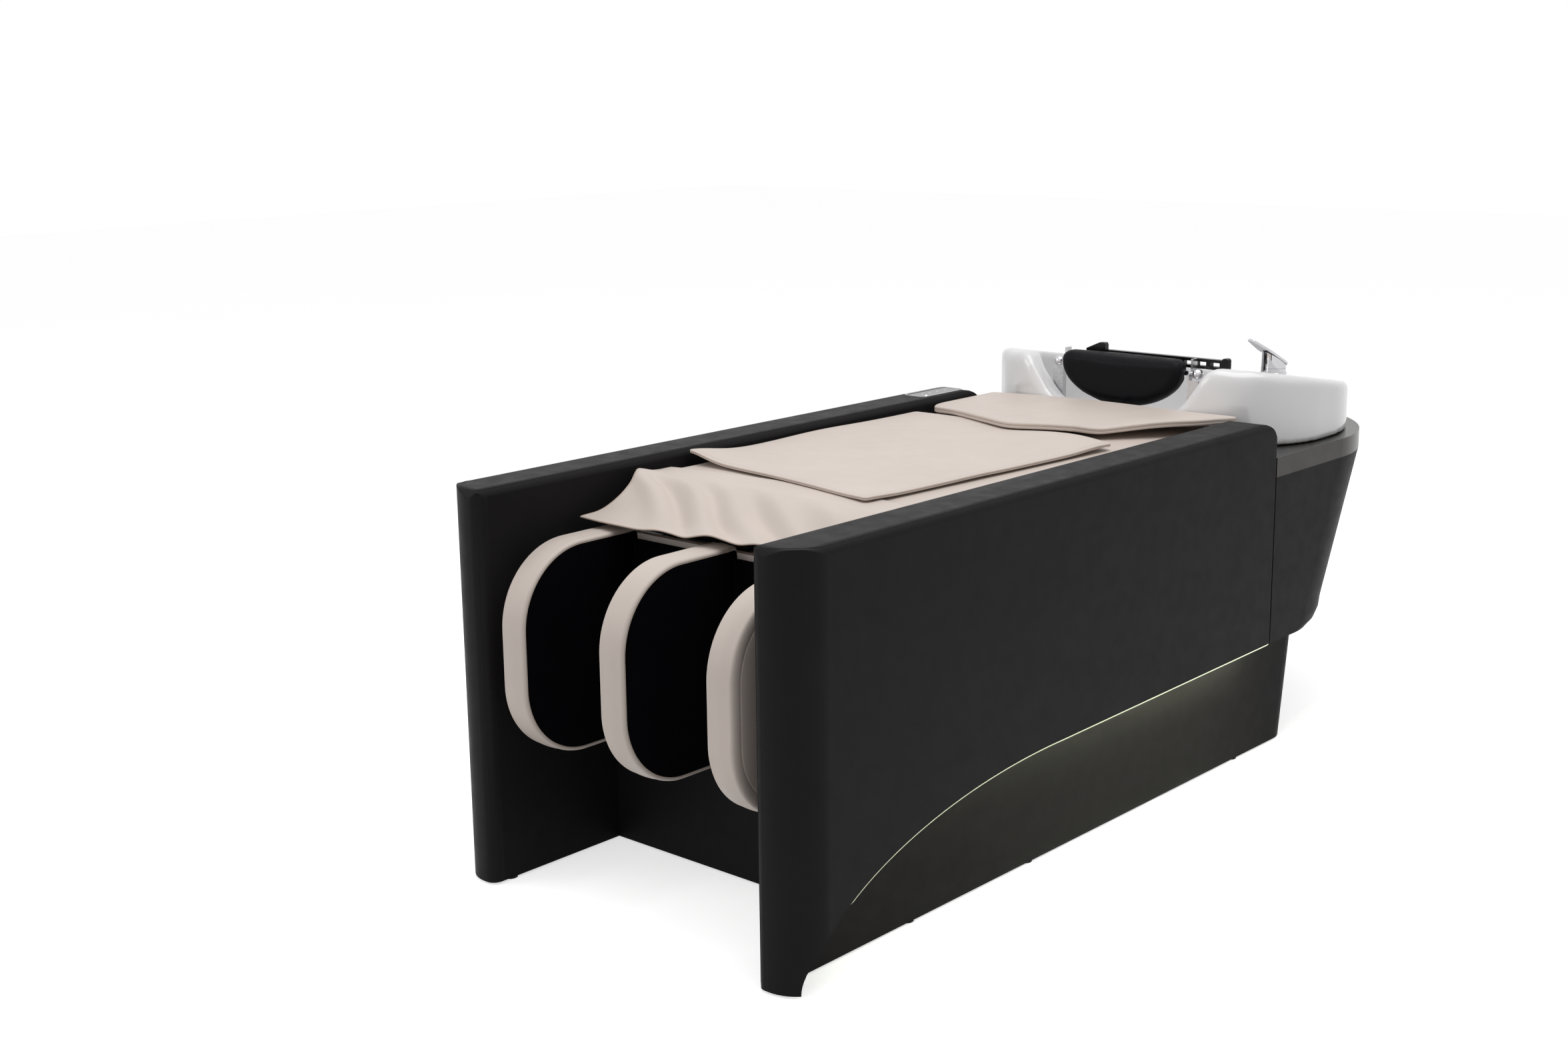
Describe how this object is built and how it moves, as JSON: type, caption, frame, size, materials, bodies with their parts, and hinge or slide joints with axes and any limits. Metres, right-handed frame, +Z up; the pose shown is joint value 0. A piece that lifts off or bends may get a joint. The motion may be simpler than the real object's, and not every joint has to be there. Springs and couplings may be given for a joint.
{
  "type": "hair washing bed",
  "caption": "Upholstered shampoo bed with tall side panels, a lifting calf massage unit, and a ceramic basin with neck rest and mixer tap at the head.",
  "frame": {"origin": "centre of the footprint on the floor", "axes": "+Z up, +Y from the foot end to the basin, X across the bed"},
  "size_m": [0.776, 1.955, 0.8051],
  "materials": {
    "charcoal_leather": "satin grained leather, dark charcoal",
    "cream_leather": "soft matt leather, cream",
    "black_fabric": "black knit",
    "black_pad": "black moulded foam skin, matt",
    "black_plastic": "black, glossy",
    "dark_plastic": "dark grey, matt",
    "trap_plastic": "white, matt",
    "charcoal_board": "board covered in charcoal leathercloth",
    "plywood": "bare plywood",
    "light_band": "milky light guide",
    "glide_rubber": "black",
    "deck_metal": "satin bronze grey",
    "frame_metal": "black powder coat",
    "ceramic": "white glaze",
    "chrome_plate": "bright chrome",
    "steel": "brushed",
    "brass_fitting": "bare brass",
    "panel_frame": "satin",
    "panel_glass": "black back-painted glass",
    "actuator_case": "dark grey",
    "box_metal": "plain sheet"
  },
  "bodies": {
    "bed_base": {"side_shell_right": "charcoal_leather", "side_shell_left": "charcoal_leather", "basin_housing": "charcoal_leather", "core_board_right": "charcoal_board", "core_board_left": "charcoal_board", "cross_panel": "charcoal_board", "plinth_end": "charcoal_board", "bed_cushion": "cream_leather", "leg_apron": "cream_leather", "top_mat": "cream_leather", "pillow_flap": "cream_leather", "spray_bar": "black_plastic", "air_pump": "dark_plastic", "waste_trap": "trap_plastic", "seat_board": "plywood", "equipment_shelf": "plywood", "light_strip_right": "light_band", "light_strip_left": "light_band", "floor_glides": "glide_rubber", "deck": "deck_metal", "frame_rails": "frame_metal", "frame_posts": "frame_metal", "frame_crossbars": "frame_metal", "hinge_brackets": "frame_metal", "lift_clevis": "frame_metal", "basin": "ceramic", "tap_body": "chrome_plate", "drain_flange": "chrome_plate", "neck_axle": "chrome_plate", "neck_bracket_right": "steel", "neck_bracket_left": "steel", "neck_stop": "steel", "hinge_bar": "steel", "massage_rails": "steel", "massage_screw": "steel", "supply_tails": "brass_fitting", "control_bezel": "panel_frame", "control_glass": "panel_glass", "power_box": "box_metal"},
    "legrest": {"calf_back_board": "cream_leather", "calf_fin_left": "cream_leather", "calf_fin_middle": "cream_leather", "calf_fin_right": "cream_leather", "calf_lining_left": "black_fabric", "calf_lining_right": "black_fabric", "legrest_arms": "frame_metal", "lift_arm": "frame_metal"},
    "lift_actuator": {"lift_body": "actuator_case"},
    "lift_plunger": {"lift_rod": "steel"},
    "neck_rest": {"neck_pad": "black_pad"},
    "tap_turret": {"tap_cartridge": "chrome_plate"},
    "tap_handle": {"tap_lever": "chrome_plate"},
    "strainer": {"hair_strainer": "steel"},
    "roller_carriage": {"massage_carriage": "frame_metal", "massage_motor": "actuator_case"},
    "front_rollers": {"massage_rollers_front": "dark_plastic"},
    "rear_rollers": {"massage_rollers_rear": "dark_plastic"}
  },
  "joints": [
    {"name": "legrest_lift", "type": "hinge", "parent": "bed_base", "child": "legrest", "pos_m": [0, -0.6775, 0.56], "axis": [-1, 0, 0], "range_deg": [0, 80], "deforming": ["leg_apron"]},
    {"name": "actuator_tilt", "type": "hinge", "parent": "bed_base", "child": "lift_actuator", "pos_m": [0, -0.3775, 0.37], "axis": [-1, 0, 0], "range_deg": [0, 8]},
    {"name": "plunger_slide", "type": "slide", "parent": "lift_actuator", "child": "lift_plunger", "axis": [0, -0.9662, 0.2577], "range_m": [0, 0.133]},
    {"name": "neck_rest_tilt", "type": "hinge", "parent": "bed_base", "child": "neck_rest", "pos_m": [0, 0.4645, 0.735], "axis": [1, 0, 0], "range_deg": [-20, 20]},
    {"name": "tap_swivel", "type": "hinge", "parent": "bed_base", "child": "tap_turret", "pos_m": [0.27, 0.5675, 0.74612], "axis": [0, 0, 1], "range_deg": [-50, 50]},
    {"name": "tap_lift", "type": "hinge", "parent": "tap_turret", "child": "tap_handle", "pos_m": [0.28104, 0.58826, 0.75126], "axis": [-0.8829, 0.4695, 0], "range_deg": [0, 25]},
    {"name": "strainer_lift", "type": "slide", "parent": "bed_base", "child": "strainer", "axis": [0, 0, 1], "range_m": [0, 0.12]},
    {"name": "massage_travel", "type": "slide", "parent": "bed_base", "child": "roller_carriage", "axis": [0, 1, 0], "range_m": [0, 0.46]},
    {"name": "front_rollers_turn", "type": "hinge", "parent": "roller_carriage", "child": "front_rollers", "pos_m": [0, -0.3825, 0.622], "axis": [1, 0, 0], "range_deg": [-180, 180]},
    {"name": "rear_rollers_turn", "type": "hinge", "parent": "roller_carriage", "child": "rear_rollers", "pos_m": [0, -0.3025, 0.622], "axis": [1, 0, 0], "range_deg": [-180, 180]}
  ],
  "couplings": [
    {"joint": "actuator_tilt", "follows": "legrest_lift", "ratio": 0.0977},
    {"joint": "plunger_slide", "follows": "legrest_lift", "m_per_rad": 0.09468}
  ]
}
